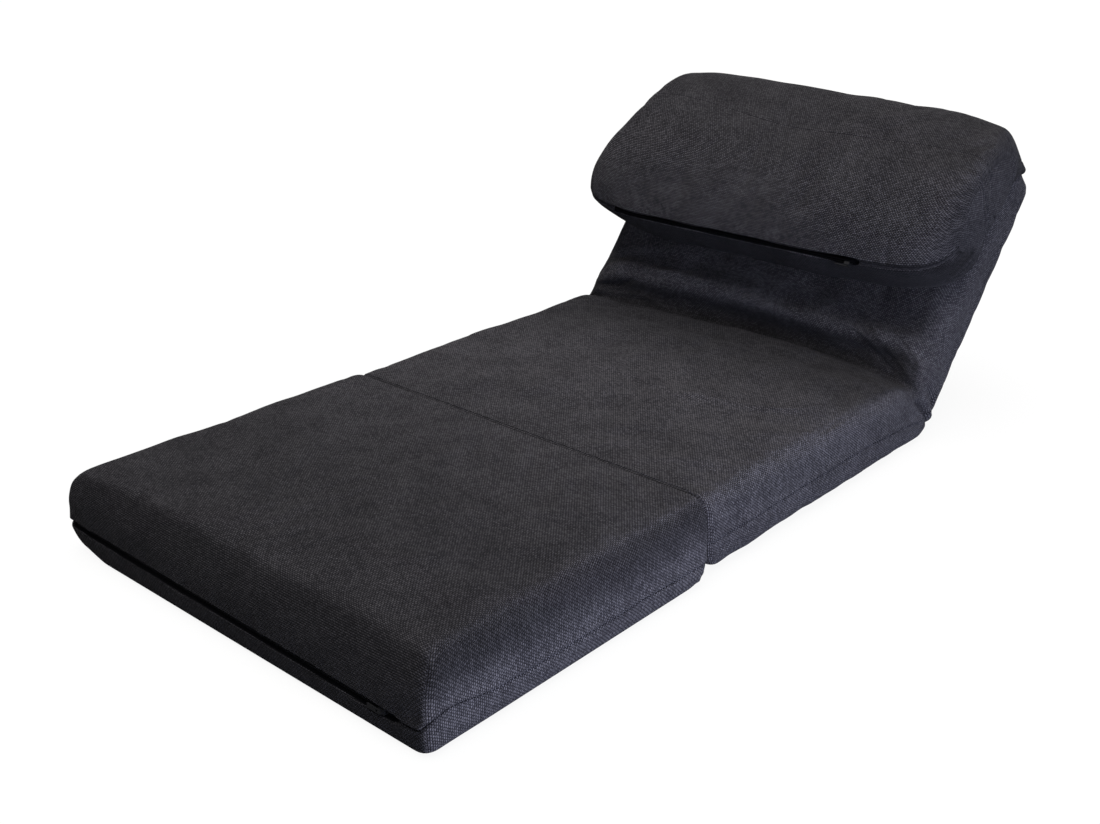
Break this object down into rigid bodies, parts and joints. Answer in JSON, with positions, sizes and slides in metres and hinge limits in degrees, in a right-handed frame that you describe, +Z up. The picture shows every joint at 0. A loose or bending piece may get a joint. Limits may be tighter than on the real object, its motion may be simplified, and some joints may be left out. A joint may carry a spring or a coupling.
{
  "type": "chair bed",
  "caption": "Low folding chair bed: hinged foot, seat and reclining backrest cushions in dark woven fabric, with a flip-over pillow on the backrest.",
  "frame": {"origin": "on the floor under the middle of the resting chair bed", "axes": "+Z up, foot end towards -Y, backrest and pillow towards +Y, X across the width"},
  "size_m": [0.714, 1.4061, 0.4887],
  "materials": {
    "cover_fabric": "coarse woven chenille, matt with a slight nap",
    "base_cloth": "black anti-slip cloth",
    "foam": "open-cell polyurethane foam",
    "filling": "polyester fibre filling in a thin inner bag",
    "frame_tube": "black powder-coated steel tube",
    "webbing": "elastic webbing",
    "ratchet_steel": "zinc-plated pressed steel",
    "zip_tape": "black woven zip tape",
    "zip_coil": "black nylon coil",
    "zip_metal": "black enamelled zinc"
  },
  "bodies": {
    "seat": {"seat_cover": "cover_fabric", "seat_base_cloth": "base_cloth", "seat_top_foam": "foam", "seat_bottom_foam": "foam", "seat_frame_hoop": "frame_tube", "seat_cross_tubes": "frame_tube", "seat_webbing": "webbing", "fold_cover": "cover_fabric", "seat_arms_left": "ratchet_steel", "seat_arms_right": "ratchet_steel", "pivot_rivets": "ratchet_steel", "seat_arm_rivets": "ratchet_steel", "pawl_pins": "ratchet_steel", "pawl_spring_left": "ratchet_steel", "pawl_spring_right": "ratchet_steel"},
    "foot": {"foot_cover": "cover_fabric", "foot_base_cloth": "base_cloth", "foot_foam": "foam", "cross_seam": "cover_fabric", "foot_zip_tapes": "zip_tape", "foot_zip_coil": "zip_coil"},
    "foot_zip_slider": {"foot_zip_slider": "zip_metal"},
    "foot_zip_pull": {"foot_zip_pull": "zip_metal"},
    "back": {"back_cover": "cover_fabric", "back_front_foam": "foam", "back_rear_foam": "foam", "back_frame_hoop": "frame_tube", "back_cross_tubes": "frame_tube", "back_webbing": "webbing", "toothed_arm_left": "ratchet_steel", "toothed_arm_right": "ratchet_steel", "back_arm_rivets": "ratchet_steel"},
    "pawl_left": {"pawl_left": "ratchet_steel"},
    "pawl_right": {"pawl_right": "ratchet_steel"},
    "pillow": {"pillow_cover": "cover_fabric", "pillow_filling": "filling", "pillow_flap": "cover_fabric", "pillow_zip_tapes": "zip_tape", "pillow_zip_coil": "zip_coil"},
    "pillow_zip_slider": {"pillow_zip_slider": "zip_metal"},
    "pillow_zip_pull": {"pillow_zip_pull": "zip_metal"}
  },
  "joints": [
    {"name": "foot_fold", "type": "hinge", "parent": "seat", "child": "foot", "pos_m": [0, -0.19706, 0.1196], "axis": [-1, 0, 0], "range_deg": [0, 176]},
    {"name": "backrest_recline", "type": "hinge", "parent": "seat", "child": "back", "pos_m": [0, 0.38794, 0.044], "axis": [1, 0, 0], "range_deg": [-50, 40], "deforming": ["fold_cover"]},
    {"name": "pillow_flip", "type": "hinge", "parent": "back", "child": "pillow", "pos_m": [0, 0.6999, 0.36444], "axis": [-1, 0, 0], "range_deg": [0, 195]},
    {"name": "pawl_left_lift", "type": "hinge", "parent": "seat", "child": "pawl_left", "pos_m": [-0.3, 0.34994, 0.064], "axis": [1, 0, 0], "range_deg": [-8, 6], "stiffness_Nm_per_rad": 0.2, "deforming": ["pawl_spring_left"]},
    {"name": "pawl_right_lift", "type": "hinge", "parent": "seat", "child": "pawl_right", "pos_m": [0.3, 0.34994, 0.064], "axis": [1, 0, 0], "range_deg": [-8, 6], "stiffness_Nm_per_rad": 0.2, "deforming": ["pawl_spring_right"]},
    {"name": "foot_zip_slide", "type": "slide", "parent": "foot", "child": "foot_zip_slider", "axis": [-0.9999, 0, 0.0157], "range_m": [0, 0.595]},
    {"name": "foot_zip_pull_swing", "type": "hinge", "parent": "foot_zip_slider", "child": "foot_zip_pull", "pos_m": [0.28096, -0.70346, 0.03529], "axis": [0.0157, 0, 0.9999], "range_deg": [0, 165]},
    {"name": "pillow_zip_slide", "type": "slide", "parent": "pillow", "child": "pillow_zip_slider", "axis": [-1, 0, 0], "range_m": [0, 0.452]},
    {"name": "pillow_zip_pull_swing", "type": "hinge", "parent": "pillow_zip_slider", "child": "pillow_zip_pull", "pos_m": [0.203, 0.35197, 0.27339], "axis": [0, -0.766, 0.6428], "range_deg": [0, 165]}
  ]
}
